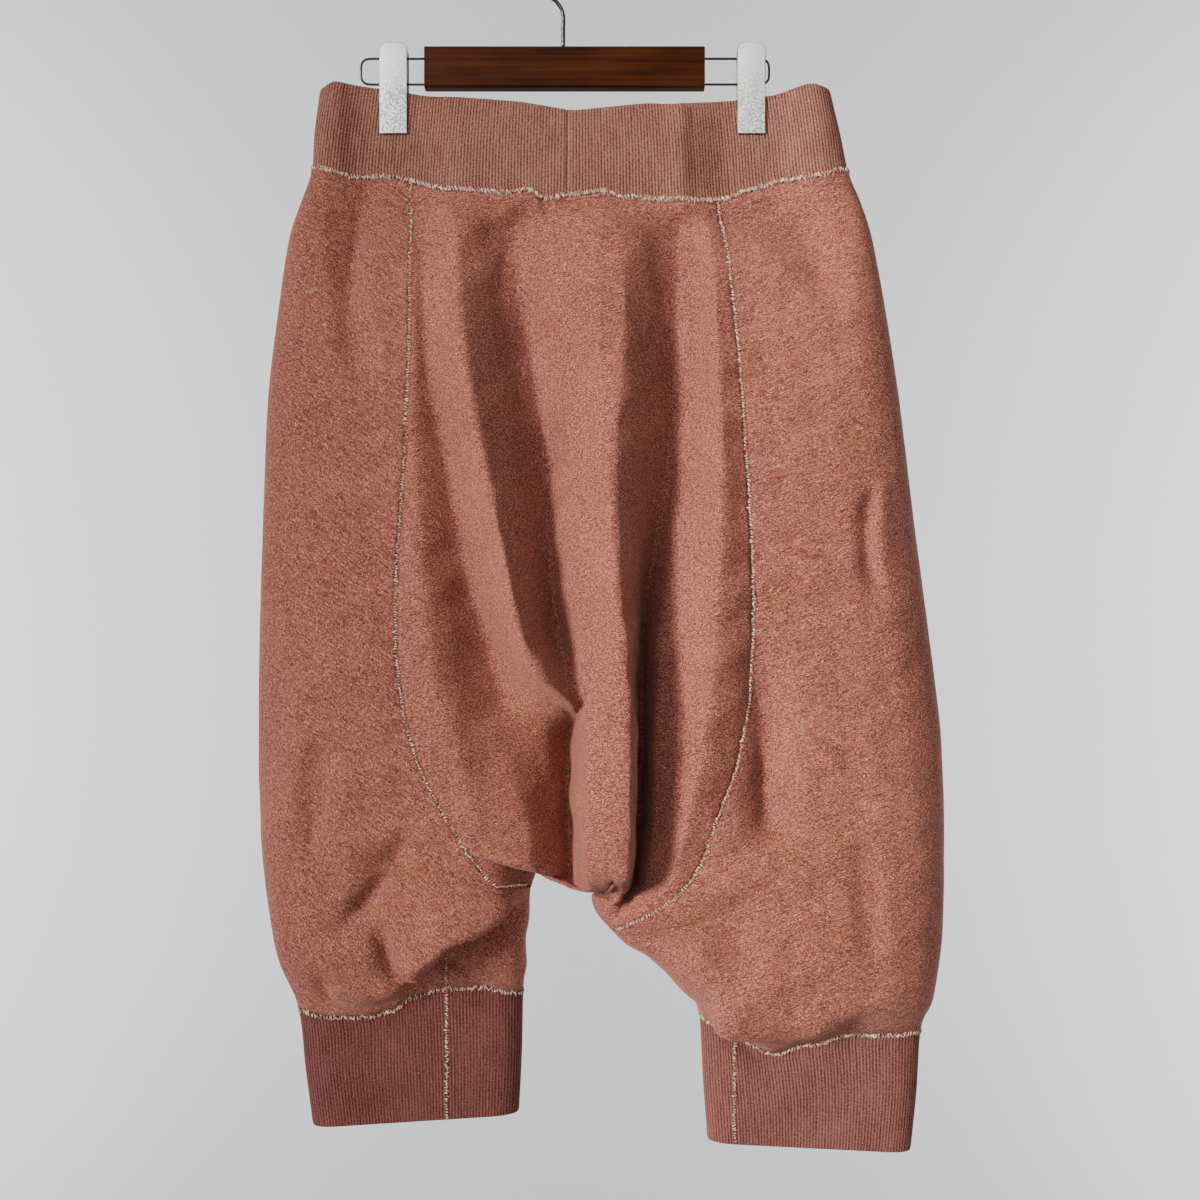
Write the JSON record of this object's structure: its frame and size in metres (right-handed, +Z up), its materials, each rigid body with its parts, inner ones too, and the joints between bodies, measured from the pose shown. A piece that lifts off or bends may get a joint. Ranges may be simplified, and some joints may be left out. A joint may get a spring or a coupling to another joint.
{
  "type": "cropped harem sweatpants on a clip hanger",
  "caption": "Cropped harem pants with a deep dropped gusset, ribbed waistband and ribbed cuffs, hung flat by the waistband from a wooden clip hanger.",
  "frame": {"origin": "the point inside the top of the hook that bears on a rail", "axes": "+Z up, +X to the right as seen from the front, the pants' front towards -Y"},
  "size_m": [0.4642, 0.1252, 0.826],
  "materials": {
    "sweat_cloth": "terracotta heather sweat cloth with pale flecks",
    "rib_knit": "terracotta rib knit, a little darker",
    "seam_thread": "thick undyed cotton thread",
    "bar_wood": "dark stained and lacquered",
    "wire_chrome": "bright plated wire",
    "clip_steel": "plated sheet steel with fine wear"
  },
  "bodies": {
    "root": {"leg_left": "sweat_cloth", "leg_right": "sweat_cloth", "gusset": "sweat_cloth", "waistband": "rib_knit", "cuff_left": "rib_knit", "cuff_right": "rib_knit", "hanger_bar": "bar_wood", "hanger_hook": "wire_chrome", "hanger_loop_left": "wire_chrome", "hanger_loop_right": "wire_chrome", "clip_left_front": "clip_steel", "clip_left_back": "clip_steel", "clip_right_front": "clip_steel", "clip_right_back": "clip_steel"}
  },
  "joints": []
}
